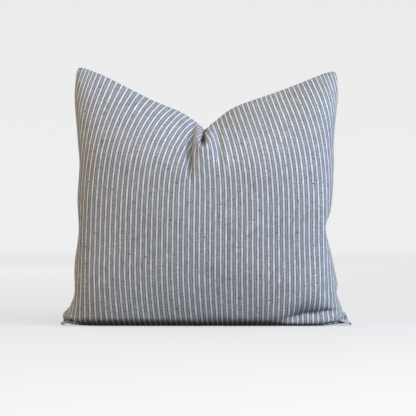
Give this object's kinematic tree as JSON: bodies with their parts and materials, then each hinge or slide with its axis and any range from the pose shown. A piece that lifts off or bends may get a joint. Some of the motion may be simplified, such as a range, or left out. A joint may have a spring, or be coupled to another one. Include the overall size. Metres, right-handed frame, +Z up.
{
  "type": "throw pillow",
  "caption": "Square knife-edge throw pillow with a vertically striped zipped cover, a removable filled insert and a chopped top edge.",
  "frame": {"origin": "centre of the overall box in X and Y, on the floor the pillow stands on", "axes": "+Z up, the front face looks along -Y, +X from the pillow's left side seam to its right one as seen from the front"},
  "size_m": [0.442, 0.172, 0.402],
  "materials": {
    "striped_cotton": "slub-woven cotton, grey-blue with fine cream stripes",
    "white_cotton": "plain-woven cotton ticking",
    "polyester_fibre": "loose siliconised polyester fibre",
    "zip_tape": "herringbone-woven polyester tape",
    "nylon_coil": "nylon monofilament",
    "nickel_plate": "nickel-plated zinc",
    "sewing_thread": "spun polyester thread",
    "satin_label": "blank woven satin"
  },
  "bodies": {
    "cover": {"cover_front_panel": "striped_cotton", "cover_back_panel": "striped_cotton", "cover_care_label": "satin_label", "overlock_thread_left": "sewing_thread", "overlock_thread_right": "sewing_thread", "overlock_thread_top": "sewing_thread", "zip_tape_front": "zip_tape", "zip_tape_back": "zip_tape", "zip_coil_front": "nylon_coil", "zip_coil_back": "nylon_coil", "zip_top_stop_front": "nickel_plate", "zip_top_stop_back": "nickel_plate", "zip_bottom_stop": "nickel_plate", "zip_stitching_front": "sewing_thread", "zip_stitching_back": "sewing_thread", "bar_tack_left": "sewing_thread", "bar_tack_right": "sewing_thread", "insert_casing_front": "white_cotton", "insert_casing_back": "white_cotton", "insert_filling": "polyester_fibre", "insert_seam_thread": "sewing_thread", "insert_care_label": "satin_label"},
    "slider": {"zip_slider": "nickel_plate"},
    "pull": {"zip_pull": "nickel_plate"}
  },
  "joints": [
    {"name": "slider_slide", "type": "slide", "parent": "cover", "child": "slider", "axis": [-1, 0, 0], "range_m": [0, 0.326]},
    {"name": "pull_swing", "type": "hinge", "parent": "slider", "child": "pull", "pos_m": [0.163, 0, 0.0066], "axis": [0, 1, 0], "range_deg": [-180, 0]}
  ]
}
